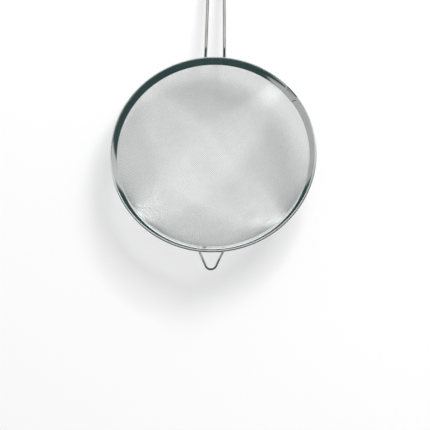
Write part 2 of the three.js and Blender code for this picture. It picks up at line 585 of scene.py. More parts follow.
@dataclass
class WovenCloth:
    """Plain-woven wire cloth, pressed into the shape of the bowl.

    Each wire stays in an upright plane, so the cloth's square mesh leans into rhombs towards the diagonals.

    Attributes:
        shape: the rim and the bowl.
        pitch: distance between neighbouring wires.
        wire: diameter of the wires.
        bias: angle between the warp and the handle.
        warp_share: share of the crimp that the warp takes.
        sides: faces round a wire.
        samples: steps from one crossing to the next.
        pieces: runs of neighbouring wires that each family is split into.
    """

    shape: RimShape
    pitch: float = 1.22
    wire: float = 0.25
    bias: float = math.radians(45.0)
    warp_share: float = 0.40
    sides: int = 5
    samples: int = 3
    pieces: int = 6

    @property
    def ball_arc(self) -> float:
        """Distance along the cloth from its middle to the band."""
        return self.shape.ball_radius * self.shape.cap_angle

    @property
    def edge_arc(self) -> float:
        """Distance along the cloth from its middle to its edge under the hoop."""
        tucked = self.shape.hoop_wire / 2 + self.shape.fit_gap + self.wire
        return self.ball_arc + self.shape.leg_length - tucked

    def build(self, rim: RimFrame) -> list[bpy.types.Object]:
        """Weave both families of wires and place them.

        Args:
            rim: the rim's frame.

        Returns:
            The pieces of the cloth.
        """
        made = []
        tree = self._tree()
        finish = CLOTH_STEEL.material()
        bounds = np.linspace(0, len(self.numbers), self.pieces + 1).round().astype(int)
        for family in Family:
            for number, (first, after) in enumerate(zip(bounds, bounds[1:]), 1):
                name = f"{family.value}_wires_{number}"
                base = self._middle_lines(name + "_base", family, range(first, after))
                values = {
                    "Wire Radius": self.wire / 2,
                    "Sides": self.sides,
                    "Crimp": self.wire * (self.warp_share if family is Family.WARP else self.warp_share - 1),
                    "Finish": finish,
                }
                made.append(rim.piece(name, tree.run(base, name, values), Slot.CLOTH, "mesh_bowl"))
        return made

    @property
    def numbers(self) -> np.ndarray:
        """Numbers of the wires of a family, counted from the middle of the bowl."""
        reach = math.floor(self.edge_arc / self.pitch)
        return np.arange(-reach, reach + 1)

    def _middle_lines(self, name: str, family: Family, wires: range) -> bpy.types.Mesh:
        """Draw the middle lines of a run of neighbouring wires, each in its own upright plane.

        Args:
            name: name of the mesh.
            family: direction of the wires.
            wires: places of the wires among those of the family.

        Returns:
            Chains of edges, with how far each point is along the weave and which way is outwards.
        """
        numbers, radius = self.numbers, self.shape.ball_radius
        steps = np.arange(numbers[0] * self.samples, numbers[-1] * self.samples + 1) / self.samples
        along = np.sin(steps * self.pitch / radius)
        turn = np.array(Matrix.Rotation(-self.bias, 2))
        places, normals, turns, edges = [], [], [], []
        total = 0
        for wire in wires:
            beside = math.sin(numbers[wire] * self.pitch / radius)
            kept = along**2 + beside**2 < math.sin(self.edge_arc / radius) ** 2
            flat = np.stack([np.full(kept.sum(), beside), along[kept]], axis=1)
            place, normal = self._press((flat if family is Family.WARP else flat[:, ::-1]) @ turn)
            places.append(place)
            normals.append(normal)
            turns.append(steps[kept] - numbers[wire])
            number = np.arange(total, total + len(place))
            edges.append(np.stack([number[:-1], number[1:]], axis=1))
            total += len(number)
        mesh = bpy.data.meshes.new(name)
        mesh.from_pydata(np.concatenate(places).tolist(), np.concatenate(edges).tolist(), [])
        store(mesh, "turns", np.concatenate(turns))
        store(mesh, "outward", np.concatenate(normals))
        return mesh

    def _press(self, flat: np.ndarray) -> tuple[np.ndarray, np.ndarray]:
        """Press points of the cloth into the bowl: on the ball up to the band, then up the wall.

        Args:
            flat: where the points lie seen from above, where the ball's radius is 1.

        Returns:
            The points and the directions outwards.
        """
        shape = self.shape
        away = np.linalg.norm(flat, axis=1)
        round_way = flat / np.maximum(away, 1e-9)[:, None]
        out = np.stack([away, -np.sqrt(1 - away**2)], axis=1)
        section = np.array([0.0, shape.ball_height]) + shape.ball_radius * out
        past = shape.ball_radius * np.arcsin(away) - self.ball_arc
        on_wall = past > 0
        if on_wall.any():
            section[on_wall] = [shape.on_wall(up - shape.leg_length, 0.0) for up in past[on_wall]]
            out[on_wall] = [shape.wall_out(up - shape.leg_length) for up in past[on_wall]]
        place = np.concatenate([round_way * section[:, :1], section[:, 1:]], axis=1)
        normal = np.concatenate([round_way * out[:, :1], out[:, 1:]], axis=1)
        return place, normal

    def _tree(self) -> GeometryTree:
        """Build the tree that crimps the wires over and under each other and gives them their section.

        Returns:
            The tree.
        """
        tree = GeometryTree("weave")
        radius, sides = tree.number("Wire Radius"), tree.count("Sides")
        crimp, finish = tree.number("Crimp"), tree.finish("Finish")
        path = tree.node("GeometryNodeMeshToCurve", {0: tree.group.outputs["Geometry"]}).outputs[0]
        turns = tree.named("turns", "FLOAT")
        outward = tree.named("outward", "FLOAT_VECTOR")
        wave = tree.math("MULTIPLY", crimp, tree.math("COSINE", tree.math("MULTIPLY", turns, math.pi)))
        shift = tree.node("ShaderNodeVectorMath", {0: outward, "Scale": wave}, operation="SCALE").outputs[0]
        woven = tree.node("GeometryNodeSetPosition", {"Geometry": path, "Offset": shift}).outputs[0]
        for spare in ("turns", "outward"):
            woven = tree.node("GeometryNodeRemoveAttribute", {"Geometry": woven, "Name": spare}).outputs[0]
        tree.close(swept_wire(tree, woven, radius, sides), finish)
        return tree


def swept_wire(
    tree: GeometryTree,
    path: bpy.types.NodeSocket,
    radius: bpy.types.NodeSocket,
    sides: bpy.types.NodeSocket,
    scale: Any = 1.0,
) -> bpy.types.NodeSocket:
    """Sweep a round section along wires and note each point's place on its wire.

    Args:
        tree: the tree to build in.
        path: the wires' middle lines.
        radius: radius of the section.
        sides: faces round the section.
        scale: size of the section along the wire.

    Returns:
        The swept wires, with the attribute wire_place: the point of the section and the length along.
    """
    circle = {"Resolution": sides, "Radius": radius}
    ring = tree.node("GeometryNodeCurvePrimitiveCircle", circle).outputs[0]
    gone = tree.node("GeometryNodeSplineParameter").outputs["Length"]
    measured = tree.keep(path, "wire_length", gone, "FLOAT")
    spot = tree.node("GeometryNodeInputPosition").outputs[0]
    marked = tree.keep(ring, "wire_round", spot, "FLOAT_VECTOR")
    tube = tree.node(
        "GeometryNodeCurveToMesh",
        {"Curve": measured, "Profile Curve": marked, "Scale": scale, "Fill Caps": True},
    ).outputs[0]
    far = tree.named("wire_length", "FLOAT")
    around = tree.named("wire_round", "FLOAT_VECTOR")
    turned = tree.node("ShaderNodeSeparateXYZ", {0: around}).outputs
    where = tree.node("ShaderNodeCombineXYZ", {0: turned[0], 1: turned[1], 2: far}).outputs[0]
    placed = tree.keep(tube, "wire_place", where, "FLOAT_VECTOR")
    for spare in ("wire_length", "wire_round"):
        placed = tree.node("GeometryNodeRemoveAttribute", {"Geometry": placed, "Name": spare}).outputs[0]
    return placed


@dataclass(frozen=True)
class BentWire:
    """A hairpin of one wire, with two feet welded to the outside of the band.

    Attributes:
        shape: the rim that it is welded to.
        diameter: thickness of the wire.
        reach: how far it stands out from the rim.
        width: distance between its feet.
        tip_radius: radius of its tip, at the wire's middle.
        bend_radius: radius of the bend at each foot.
        side: side of the rim.
        sag: distances beyond the rim, and how far the wire dips there.
        kink: length of the soft kinks in the sag.
        setback: distance from the band's foot to the wire's cut end.
        weld_place: how far down the wall the weld lies, as a share of the wall.
        leg_step: distance between stations on a straight leg.
        bend_steps: steps in the bend at a foot.
        tip_steps: steps round the tip.
        end_round: radius of the cut ends' edges.
    """

    shape: RimShape
    diameter: float
    reach: float
    width: float
    tip_radius: float
    bend_radius: float
    side: Side
    sag: tuple[tuple[float, float], ...]
    kink: float = 2.4
    setback: float = 0.6
    weld_place: float = 0.62
    leg_step: float = 0.8
    bend_steps: int = 14
    tip_steps: int = 64
    end_round: float = 0.25

    def foot_angles(self) -> tuple[float, float]:
        """Return the azimuths of the two feet, from +X."""
        turn = math.asin(self.width / 2 / self._corner()[0])
        upright = self.side.value * math.pi / 2
        return upright - turn, upright + turn

    def foot_middle(self) -> float:
        """Return how far up the wall the middle of the weld lies."""
        return -self.shape.leg_length * self.weld_place

    def _out(self) -> float:
        """Return the distance from the cloth's middle to the wire's middle at the foot."""
        return self.shape.leg_outside + self.shape.fit_gap + self.diameter / 2

    def _corner(self) -> np.ndarray:
        """Find the corner where the wire leaves the band.

        Returns:
            Radius and height of the corner.
        """
        shape = self.shape
        clear = self.bend_radius + shape.bead_radius + shape.fit_gap + self.diameter / 2
        start = -math.sqrt(clear**2 - (self._out() + self.bend_radius) ** 2)
        up = start + self.bend_radius * math.tan((math.pi / 2 - shape.lean) / 2)
        return shape.on_wall(up, self._out())

    def stations(self) -> np.ndarray:
        """Lay out the wire's middle line.

        Returns:
            Points from one foot to the other.
        """
        sign = self.side.value
        corner = self._corner()
        low = self.shape.on_wall(-self.shape.leg_length + self.setback, self._out())
        turn = math.asin(self.width / 2 / corner[0])
        outward = np.array([math.sin(turn), sign * math.cos(turn), 0.0])
        upward = np.array([0.0, 0.0, 1.0])
        start, knee = low[0] * outward + low[1] * upward, corner[0] * outward + corner[1] * upward
        tip = self.shape.diameter / 2 + self.reach - self.diameter / 2
        centre = np.array([0.0, sign * (tip - self.tip_radius), corner[1]])
        run = np.linalg.norm(knee - centre)
        lean = math.asin(knee[0] / run) - math.asin(self.tip_radius / run)
        angles = np.linspace(lean, math.pi / 2, self.tip_steps // 2 + 1)
        arms = np.stack([np.cos(angles), sign * np.sin(angles), np.zeros_like(angles)], axis=1)
        tip_arc = centre + self.tip_radius * arms
        half = np.concatenate([self._end(start, knee), self._bend(start, knee, tip_arc[0])])
        half = np.concatenate([half, self._leg(half[-1], tip_arc[0]), tip_arc])
        half = self._sagging(half)
        return np.concatenate([half, half[-2::-1] * np.array([-1.0, 1.0, 1.0])])

    def _sagging(self, points: np.ndarray) -> np.ndarray:
        """Dip the wire along its reach, with soft kinks.

        Args:
            points: points of the level wire.

        Returns:
            Points of the dipped wire.
        """
        beyond = self.side.value * points[:, 1] - self.shape.diameter / 2
        places, dips = zip(*self.sag)
        spread = np.linspace(-self.kink / 2, self.kink / 2, 9)
        dip = np.mean([np.interp(beyond + shift, places, dips) for shift in spread], axis=0)
        return points - dip[:, None] * np.array([0.0, 0.0, 1.0])

    def _end(self, start: np.ndarray, knee: np.ndarray) -> np.ndarray:
        """Close stations at the cut end, for its rounded edge.

        Args:
            start: the end of the wire.
            knee: the corner that the foot runs towards.

        Returns:
            Points from the end into the foot.
        """
        along = (knee - start) / np.linalg.norm(knee - start)
        steps = self.end_round * (1 - np.cos(np.linspace(0.0, math.pi / 2, 6)))
        return start + steps[:, None] * along

    def _bend(self, before: np.ndarray, corner: np.ndarray, after: np.ndarray) -> np.ndarray:
        """Lay out the bend between the foot and the leg.

        Args:
            before: point before the corner.
            corner: the corner.
            after: point after the corner.

        Returns:
            Points of the bend.
        """
        back = (before - corner) / np.linalg.norm(before - corner)
        ahead = (after - corner) / np.linalg.norm(after - corner)
        half = math.acos(float(back @ ahead)) / 2
        middle = (back + ahead) / np.linalg.norm(back + ahead)
        centre = corner + middle * self.bend_radius / math.sin(half)
        first = corner + back * self.bend_radius / math.tan(half) - centre
        axis = np.cross(ahead, back)
        spin = [
            Matrix.Rotation(-(math.pi - 2 * half) * step / self.bend_steps, 3, Vector(axis))
            for step in range(self.bend_steps + 1)
        ]
        return np.array([centre + np.array(turn @ Vector(first)) for turn in spin])

    def _leg(self, start: np.ndarray, end: np.ndarray) -> np.ndarray:
        """Stations along a straight leg, without its ends.

        Args:
            start: start of the leg.
            end: end of the leg.

        Returns:
            Points between them.
        """
        count = max(int(np.linalg.norm(end - start) / self.leg_step), 2)
        return start + np.linspace(0.0, 1.0, count + 1)[1:-1, None] * (end - start)


@dataclass
class BentWires:
    """The handle and the pot hook, bent from round wire and welded to the band.

    Attributes:
        shape: the rim that they are welded to.
        sides: faces round a wire.
        heat_reach: how far the heat of a weld spreads along the wire.
    """

    shape: RimShape
    sides: int = 32
    heat_reach: float = 2.6

    def handle(self) -> BentWire:
        """Return the handle, a long narrow hairpin."""
        sag = ((0.0, 0.0), (11.5, 1.9), (150.0, 0.0))
        return BentWire(
            shape=self.shape,
            diameter=2.96,
            reach=164.8,
            width=17.5,
            tip_radius=5.8,
            bend_radius=3.0,
            side=Side.HANDLE,
            sag=sag,
        )

    def hook(self) -> BentWire:
        """Return the pot hook, a short wide hairpin."""
        sag = ((0.0, 0.0), (5.0, -0.25), (15.0, 1.3))
        return BentWire(
            shape=self.shape,
            diameter=1.98,
            reach=14.85,
            width=22.6,
            tip_radius=5.0,
            bend_radius=2.0,
            side=Side.HOOK,
            sag=sag,
        )

    def build(self, rim: RimFrame) -> None:
        """Bend both wires and place them.

        Args:
            rim: the rim's frame.
        """
        tree = self._tree()
        finish = WIRE_STEEL.material()
        for name, wire in (("handle_rod", self.handle()), ("hook_rod", self.hook())):
            stations = wire.stations()
            base = bpy.data.meshes.new(name + "_base")
            base.from_pydata(stations.tolist(), [(i, i + 1) for i in range(len(stations) - 1)], [])
            values = {
                "Diameter": wire.diameter,
                "Sides": self.sides,
                "End Round": wire.end_round,
                "Finish": finish,
            }
            mesh = tree.run(base, name, values)
            self._mark_heat(mesh, wire)
            node = "handle_wire" if wire.side is Side.HANDLE else "hook_wire"
            rim.piece(name, mesh, Slot.WIRE, node)

    def _mark_heat(self, mesh: bpy.types.Mesh, wire: BentWire) -> None:
        """Note how hot each point of a wire got at its welds.

        Args:
            mesh: the wire's mesh.
            wire: the wire.
        """
        points = mesh_points(mesh)
        heat = np.zeros(len(points))
        radius, height = wire.shape.on_wall(wire.foot_middle(), wire.shape.leg_outside)
        for angle in wire.foot_angles():
            spot = np.array([radius * math.cos(angle), radius * math.sin(angle), height])
            heat += np.exp(-((np.linalg.norm(points - spot, axis=1) / self.heat_reach) ** 2))
        store(mesh, "weld_heat", np.clip(heat, 0.0, 1.0))

    def _tree(self) -> GeometryTree:
        """Build the tree that gives a middle line its round section and rounded ends.

        Returns:
            The tree.
        """
        tree = GeometryTree("bent_wire")
        diameter, sides = tree.number("Diameter"), tree.count("Sides")
        edge, finish = tree.number("End Round"), tree.finish("Finish")
        path = tree.node("GeometryNodeMeshToCurve", {0: tree.group.outputs["Geometry"]}).outputs[0]
        radius = tree.math("MULTIPLY", diameter, 0.5)
        gone = tree.node("GeometryNodeSplineParameter").outputs["Length"]
        whole = tree.node("GeometryNodeSplineLength").outputs["Length"]
        near = tree.math("MINIMUM", gone, tree.math("SUBTRACT", whole, gone))
        short = tree.math("MAXIMUM", tree.math("SUBTRACT", edge, near), 0.0)
        square = tree.math("SUBTRACT", tree.math("POWER", edge, 2.0), tree.math("POWER", short, 2.0))
        rise = tree.math("SQRT", tree.math("MAXIMUM", square, 0.0))
        scale = tree.math("DIVIDE", tree.math("ADD", tree.math("SUBTRACT", radius, edge), rise), radius)
        tree.close(swept_wire(tree, path, radius, sides, scale), finish)
        return tree


@dataclass(frozen=True)
class WeldSpot:
    """A spot weld on the inside of the band.

    Attributes:
        azimuth: place round the rim, from +X.
        up: place up the wall, below the bead's centre.
        heat: how hot the steel got, where 1 turns it dark.
    """

    azimuth: float
    up: float
    heat: float


@dataclass
class RimBand:
    """The steel strip, folded over the cloth's edge and rolled into a bead, with a lap of its ends.

    Attributes:
        shape: section of the rim.
        wires: the wires that are welded to it.
        lap_azimuth: middle of the lap, from +X.
        lap_length: length of the lap.
        lap_ramp: length of the joggle that lifts the lap.
        lap_press: share of the strip's thickness that the lap still adds after it is pressed.
        seam_width: half width of the dark seam.
        seam_height: share of the band's height that the seam reaches.
        seam_curl: how far the seam curls round the rim at its top.
        seam_reach: half length of the stretch with close sections at the seam.
        cut_step: half width of the step at the lap's cut end.
        columns: even sections round the rim.
        near_points: points up the leg inside the bowl.
        far_points: points down the leg outside the bowl.
        fold_points: points along each leg's hidden face.
        bead_points: points of each arc of the bead.
        edge_round: radius of the strip's edges.
        tack_offset: distance of the tack weld from the hook's middle, round the rim.
        tack_place: how far down the wall the tack lies, as a share of the wall.
        dent_depth: depth of a weld's mark.
        dent_radius: radius of a weld's mark.
        tint_reach: how far the heat of a weld spreads, in radii of its mark.
        foot_heat: how hot the welds of the wires' feet got.
    """

    shape: RimShape
    wires: BentWires
    lap_azimuth: float = math.radians(39.2)
    lap_length: float = 12.0
    lap_ramp: float = 2.2
    lap_press: float = 0.35
    seam_width: float = 0.4
    seam_height: float = 0.75
    seam_curl: float = 2.0
    seam_reach: float = 2.4
    cut_step: float = 0.02
    columns: int = 720
    near_points: int = 26
    far_points: int = 18
    fold_points: int = 6
    bead_points: int = 12
    edge_round: float = 0.12
    tack_offset: float = -6.0
    tack_place: float = 0.7
    dent_depth: float = 0.10
    dent_radius: float = 1.1
    tint_reach: float = 1.5
    foot_heat: float = 0.25

    def build(self, rim: RimFrame) -> None:
        """Roll the band and place it.

        Args:
            rim: the rim's frame.
        """
        azimuths = self._azimuths()
        covers = self._covers(azimuths)
        rows = np.array([self._section(cover) for cover in covers])
        across = np.concatenate([[0.0], np.cumsum(np.linalg.norm(np.diff(rows[0], axis=0), axis=1))])
        points = np.stack(
            [
                rows[..., 0] * np.cos(azimuths)[:, None],
                rows[..., 0] * np.sin(azimuths)[:, None],
                rows[..., 1],
            ],
            axis=2,
        )
        points, heat = self._weld_marks(points)
        heat = np.maximum(heat, self._seam_mark(azimuths, rows))
        mesh = grid_mesh("rolled_band", points)
        store(mesh, "weld_heat", heat.ravel())
        run = azimuths[:, None] * self.shape.diameter / 2 + np.zeros_like(across)
        place = np.stack([run, np.broadcast_to(across, run.shape), np.zeros_like(run)], axis=2)
        store(mesh, "strip_place", place.reshape(-1, 3))
        mesh.materials.append(BAND_STEEL.material())
        rim.piece("rolled_band", mesh, Slot.BAND, "rim_band")

    def _azimuths(self) -> np.ndarray:
        """Choose the azimuths of the sections, closer together at the lap and the welds.

        Returns:
            Azimuths from +X, one turn, in order.
        """
        radius = self.shape.diameter / 2
        even = np.linspace(0.0, 2 * math.pi, self.columns, endpoint=False)
        half = self.lap_length / 2 / radius
        extra = [self.lap_azimuth - half + np.array([-self.cut_step, self.cut_step]) / radius]
        extra.append(self.lap_azimuth - half + np.linspace(-self.seam_reach, self.seam_reach, 25) / radius)
        extra.append(self.lap_azimuth + half + np.linspace(0.0, self.lap_ramp, 9) / radius)
        for spot in self._weld_spots():
            extra.append(spot.azimuth + np.linspace(-1.0, 1.0, 17) * 2 * self.dent_radius / radius)
        merged = np.sort(np.concatenate([even, *extra]) % (2 * math.pi))
        keep = np.concatenate([[True], np.diff(merged) > 1e-5])
        return merged[keep]

    def _covers(self, azimuths: np.ndarray) -> np.ndarray:
        """Thickness that the lap adds at each azimuth: a joggle on one side, a cut end on the other.

        Args:
            azimuths: the sections' azimuths.

        Returns:
            Added thickness.
        """
        away = (self.lap_azimuth - azimuths) * self.shape.diameter / 2
        half = self.lap_length / 2
        rise = np.clip((away + half + self.lap_ramp) / self.lap_ramp, 0.0, 1.0)
        rise = rise * rise * (3 - 2 * rise)
        return self.lap_press * self.shape.strip * np.where(away < half, rise, 0.0)

    def _seam_mark(self, azimuths: np.ndarray, rows: np.ndarray) -> np.ndarray:
        """Mark the seam at the lap's cut end, a short line up the wall that curls near the bead.

        Args:
            azimuths: the sections' azimuths.
            rows: radius and height of the sections' points.

        Returns:
            How dark the seam is at each point.
        """
        along = (self.lap_azimuth - azimuths) * self.shape.diameter / 2 - self.lap_length / 2
        rise = np.clip(1.0 + rows[..., 1] / self.shape.height, 0.0, 1.0)
        curl = self.seam_curl * np.clip(rise / self.seam_height, 0.0, 1.0) ** 4
        line = np.exp(-(((along[:, None] - curl) / self.seam_width) ** 2))
        return line * (rise < self.seam_height)

    def _section(self, cover: float) -> np.ndarray:
        """Section of the folded strip.

        Args:
            cover: thickness that the lap adds outside.

        Returns:
            Points of the closed outline, radius and height.
        """
        shape = self.shape
        outer, face = shape.bead_radius + cover, shape.leg_outside + cover
        foot, lip = -shape.leg_length, -shape.leg_length - cover
        neck = math.sqrt(outer**2 - face**2)
        throat = math.sqrt(shape.bead_bore**2 - shape.leg_inside**2)
        neck_angle, throat_angle = math.atan2(neck, face), math.atan2(throat, shape.leg_inside)
        flat = math.acos(min(shape.flat_height / outer, 1.0))
        upright = math.pi / 2
        lean = shape.lean + shape.crown / 2
        edge = self.edge_round

        def line(up_from: float, up_to: float, out: float, count: int) -> np.ndarray:
            """Run along the wall.

            Args:
                up_from: start, up the wall.
                up_to: end, up the wall.
                out: distance out from the middle of the cloth.
                count: number of points.

            Returns:
                Radius and height of the points.
            """
            return np.array([shape.on_wall(up, out) for up in np.linspace(up_from, up_to, count)])

        def arc(radius: float, start: float, end: float) -> np.ndarray:
            """Run round the bead's centre.

            Args:
                radius: radius of the arc.
                start: angle of its start.
                end: angle of its end.

            Returns:
                Radius and height of the points.
            """
            angles = np.linspace(start, end, self.bead_points)
            return shape.bead_centre + radius * np.stack([np.cos(angles), np.sin(angles)], axis=1)

        def corner(low: float, out: float, leaving: bool) -> np.ndarray:
            """Round the edge at the foot of a leg.

            Args:
                low: the leg's end, up the wall.
                out: the leg's far face, out from the middle of the cloth.
                leaving: whether the outline comes down the far face here, or goes up it.

            Returns:
                Radius and height of the points.
            """
            angles = np.linspace(0.0, upright, 4)
            drops = edge * (1 - np.sin(angles))
            slips = edge * (1 - np.cos(angles))
            if not leaving:
                drops, slips = slips, drops
            way = -math.copysign(1.0, out)
            return np.array([shape.on_wall(low + d, out + way * s) for d, s in zip(drops, slips)])

        return np.concatenate(
            [
                corner(lip, -face, False),
                line(lip + edge, -neck, -face, self.near_points)[1:-1],
                arc(outer, math.pi - lean + neck_angle, upright + flat),
                arc(outer, upright - flat, -lean - neck_angle),
                line(-neck, foot + edge, face, self.far_points)[1:-1],
                corner(foot, face, True),
                line(foot, -throat, shape.leg_inside, self.fold_points)[:-1],
                arc(shape.bead_bore, -lean - throat_angle, math.pi - lean + throat_angle),
                line(-throat, lip, -shape.leg_inside, self.fold_points)[1:],
            ]
        )

    def _weld_spots(self) -> list[WeldSpot]:
        """Find the spot welds.

        Returns:
            The welds of the wires' feet, and the tack beside the hook.
        """
        spots = []
        for wire in (self.wires.handle(), self.wires.hook()):
            up = wire.foot_middle()
            spots += [WeldSpot(angle, up, self.foot_heat) for angle in wire.foot_angles()]
        tack = -math.pi / 2 + self.tack_offset / (self.shape.diameter / 2)
        return spots + [WeldSpot(tack, -self.shape.leg_length * self.tack_place, 1.0)]

    def _weld_marks(self, points: np.ndarray) -> tuple[np.ndarray, np.ndarray]:
        """Press the electrode's marks into the inside of the band.

        Args:
            points: the band's points, by section and by place in the section.

        Returns:
            The pressed points, and how hot each got.
        """
        heat = np.zeros(points.shape[:2])
        sine, cosine = math.sin(self.shape.lean), math.cos(self.shape.lean)
        for spot in self._weld_spots():
            across, along = math.cos(spot.azimuth), math.sin(spot.azimuth)
            radius, height = self.shape.on_wall(spot.up, -self.shape.leg_outside)
            away = np.linalg.norm(points - np.array([radius * across, radius * along, height]), axis=2)
            press = np.exp(-((away / self.dent_radius) ** 2))
            out = np.array([cosine * across, cosine * along, -sine])
            points = points + (self.dent_depth * press)[..., None] * out
            heat = heat + spot.heat * np.exp(-((away / (self.tint_reach * self.dent_radius)) ** 2))
        return points, np.clip(heat, 0.0, 1.0)


def grid_mesh(name: str, points: np.ndarray) -> bpy.types.Mesh:
    """Make a closed ring of closed sections.

    Args:
        name: name of the mesh.
        points: points by section and by place in the section.

    Returns:
        The mesh, smooth apart from its sharp folds, with its faces outwards.
    """
    sections, places = points.shape[:2]
    number = np.arange(sections * places).reshape(sections, places)
    right = np.roll(number, -1, axis=0)
    faces = np.stack([number, right, np.roll(right, -1, axis=1), np.roll(number, -1, axis=1)], axis=2)
    mesh = bpy.data.meshes.new(name)
    mesh.from_pydata(points.reshape(-1, 3).tolist(), [], faces.reshape(-1, 4)[:, ::-1].tolist())
    mesh.shade_smooth()
    mesh.set_sharp_from_angle(angle=SHARP_FOLD)
    return mesh


def mesh_points(mesh: bpy.types.Mesh) -> np.ndarray:
    """Read a mesh's points.

    Args:
        mesh: the mesh.

    Returns:
        One row for each point.
    """
    flat = np.zeros(len(mesh.vertices) * 3)
    mesh.vertices.foreach_get("co", flat)
    return flat.reshape(-1, 3)


def store(mesh: bpy.types.Mesh, name: str, values: np.ndarray) -> None:
    """Keep a number or a vector at each point of a mesh.

    Args:
        mesh: the mesh.
        name: name of the attribute.
        values: one number or vector for each point.
    """
    kind, key = ("FLOAT_VECTOR", "vector") if values.ndim == 2 else ("FLOAT", "value")
    made = mesh.attributes.new(name, kind, "POINT")
    made.data.foreach_set(key, np.ascontiguousarray(values, dtype=np.float32).ravel())


@dataclass(frozen=True)
class PhotoCamera:
    """Camera at the photograph's viewing angle.

    Attributes:
        distance: metres from the rim's centre.
        lean_x: degrees that the eye stands off the rim's axis, across the sieve.
        lean_y: degrees that the eye stands off the rim's axis, towards the handle.
        roll: turn about the line of sight in degrees.
        centre: pixel where the rim's centre lands.
        focal: focal length in pixels.
        picture: width and height of the picture in pixels.
    """

    distance: float = 1.2
    lean_x: float = 2.40
    lean_y: float = -19.77
    roll: float = 1.107
    centre: tuple[float, float] = (212.84, 152.27)
    focal: float = 1385.4
    picture: int = 430

    def build(self, rim: RimFrame) -> None:
        """Add the camera and use it.

        Args:
            rim: the rim's frame.
        """
        off = (math.tan(math.radians(self.lean_x)), math.tan(math.radians(self.lean_y)), 1.0)
        back = Vector(off).normalized()
        up = (Vector((0.0, 1.0, 0.0)) - back * back.y).normalized()
        level = Matrix((up.cross(back), up, back))
        rolled = Matrix.Rotation(-math.radians(self.roll), 3, "Z") @ level
        half = self.picture / 2
        ray = Vector(((self.centre[0] - half) / self.focal, -(self.centre[1] - half) / self.focal, -1.0))
        aimed = Vector((0.0, 0.0, -1.0)).rotation_difference(ray.normalized()).to_matrix() @ rolled
        data = bpy.data.cameras.new("photo_camera")
        data.sensor_width = 36.0
        data.lens = self.focal / self.picture * data.sensor_width
        made = bpy.data.objects.new("photo_camera", data)
        turn = rim.matrix.to_quaternion().to_matrix()
        eye = Matrix.Translation(rim.centre() + turn @ back * self.distance)
        made.matrix_world = eye @ (turn @ aimed.transposed()).to_4x4()
        bpy.context.scene.collection.objects.link(made)
        bpy.context.scene.camera = made


@dataclass(frozen=True)
class Softbox:
    """A square lamp that is aimed at the sieve.

    Attributes:
        name: name of the lamp.
        azimuth: direction it stands in, degrees from +X towards +Y.
        elevation: degrees above the table.
        level: light it gives a sheet that faces it, where 1 shows a colour as written.
        rays: whether it lights matt sheets or shows in steel.
        distance: metres from the sieve.
        edge: length of its edges in metres.
    """

    name: str
    azimuth: float
    elevation: float
    level: float
    rays: Rays
    distance: float = 2.0
    edge: float = 0.7

    def build(self, target: Vector, cloth: bpy.types.Collection) -> None:
        """Add the lamp.

        Args:
            target: point that it faces.
            cloth: pieces that alone show a lamp for their sheen.
        """
        turn, rise = math.radians(self.azimuth), math.radians(self.elevation)
        way = Vector((math.cos(rise) * math.cos(turn), math.cos(rise) * math.sin(turn), math.sin(rise)))
        data = bpy.data.lights.new(self.name, "AREA")
        data.shape = "RECTANGLE"
        data.size, data.size_y = self.edge, self.edge
        data.energy = self.level * (math.pi * self.distance) ** 2
        made = bpy.data.objects.new(self.name, data)
        facing = way.to_track_quat("Z", "Y").to_matrix().to_4x4()
        made.matrix_world = Matrix.Translation(target + way * self.distance) @ facing
        made.visible_camera = False
        setattr(made, "visible_" + self.rays.value, False)
        if self.rays is Rays.SHEEN:
            made.light_linking.receiver_collection = cloth
        bpy.context.scene.collection.objects.link(made)


@dataclass(frozen=True)
class Panel:
    """A pale panel on the wall of the dark room, which the polished steel reflects.

    Attributes:
        azimuths: where it starts and ends, degrees from +X towards +Y.
        elevations: its lower and upper edge, degrees above the table.
        level: its brightness, where 1 is white.
        blur: width of its soft edges in degrees.
    """

    azimuths: tuple[float, float]
    elevations: tuple[float, float]
    level: float
    blur: float = 3.0

    def inside(self, tree: NodeTree, x: Any, y: Any, rise: Any) -> bpy.types.NodeSocket:
        """Tell how far a point of the wall lies inside the panel.

        Args:
            tree: the wall's shader.
            x: the point's place along X.
            y: the point's place along Y.
            rise: the point's elevation in degrees.

        Returns:
            1 inside, 0 outside, and between them in the soft edge.
        """
        middle = math.radians(sum(self.azimuths) / 2)
        sine, cosine = math.sin(middle), math.cos(middle)
        ahead = tree.math("ADD", tree.math("MULTIPLY", x, cosine), tree.math("MULTIPLY", y, sine))
        beside = tree.math("SUBTRACT", tree.math("MULTIPLY", y, cosine), tree.math("MULTIPLY", x, sine))
        turn = tree.math("ABSOLUTE", tree.math("DEGREES", tree.math("ARCTAN2", beside, ahead)))
        over = tree.math("ABSOLUTE", tree.math("SUBTRACT", rise, sum(self.elevations) / 2))
        return tree.math(
            "MULTIPLY", self._edge(tree, turn, self.azimuths), self._edge(tree, over, self.elevations)
        )

    def _edge(self, tree: NodeTree, away: Any, ends: tuple[float, float]) -> bpy.types.NodeSocket:
        """Fade out at the ends of a range.

        Args:
            tree: the wall's shader.
            away: distance from the middle of the range.
            ends: ends of the range.

        Returns:
            1 in the range, 0 beyond it, and between them in the soft edge.
        """
        half = (ends[1] - ends[0]) / 2
        return tree.spread(away, 1.0, 0.0, half - self.blur / 2, half + self.blur / 2)


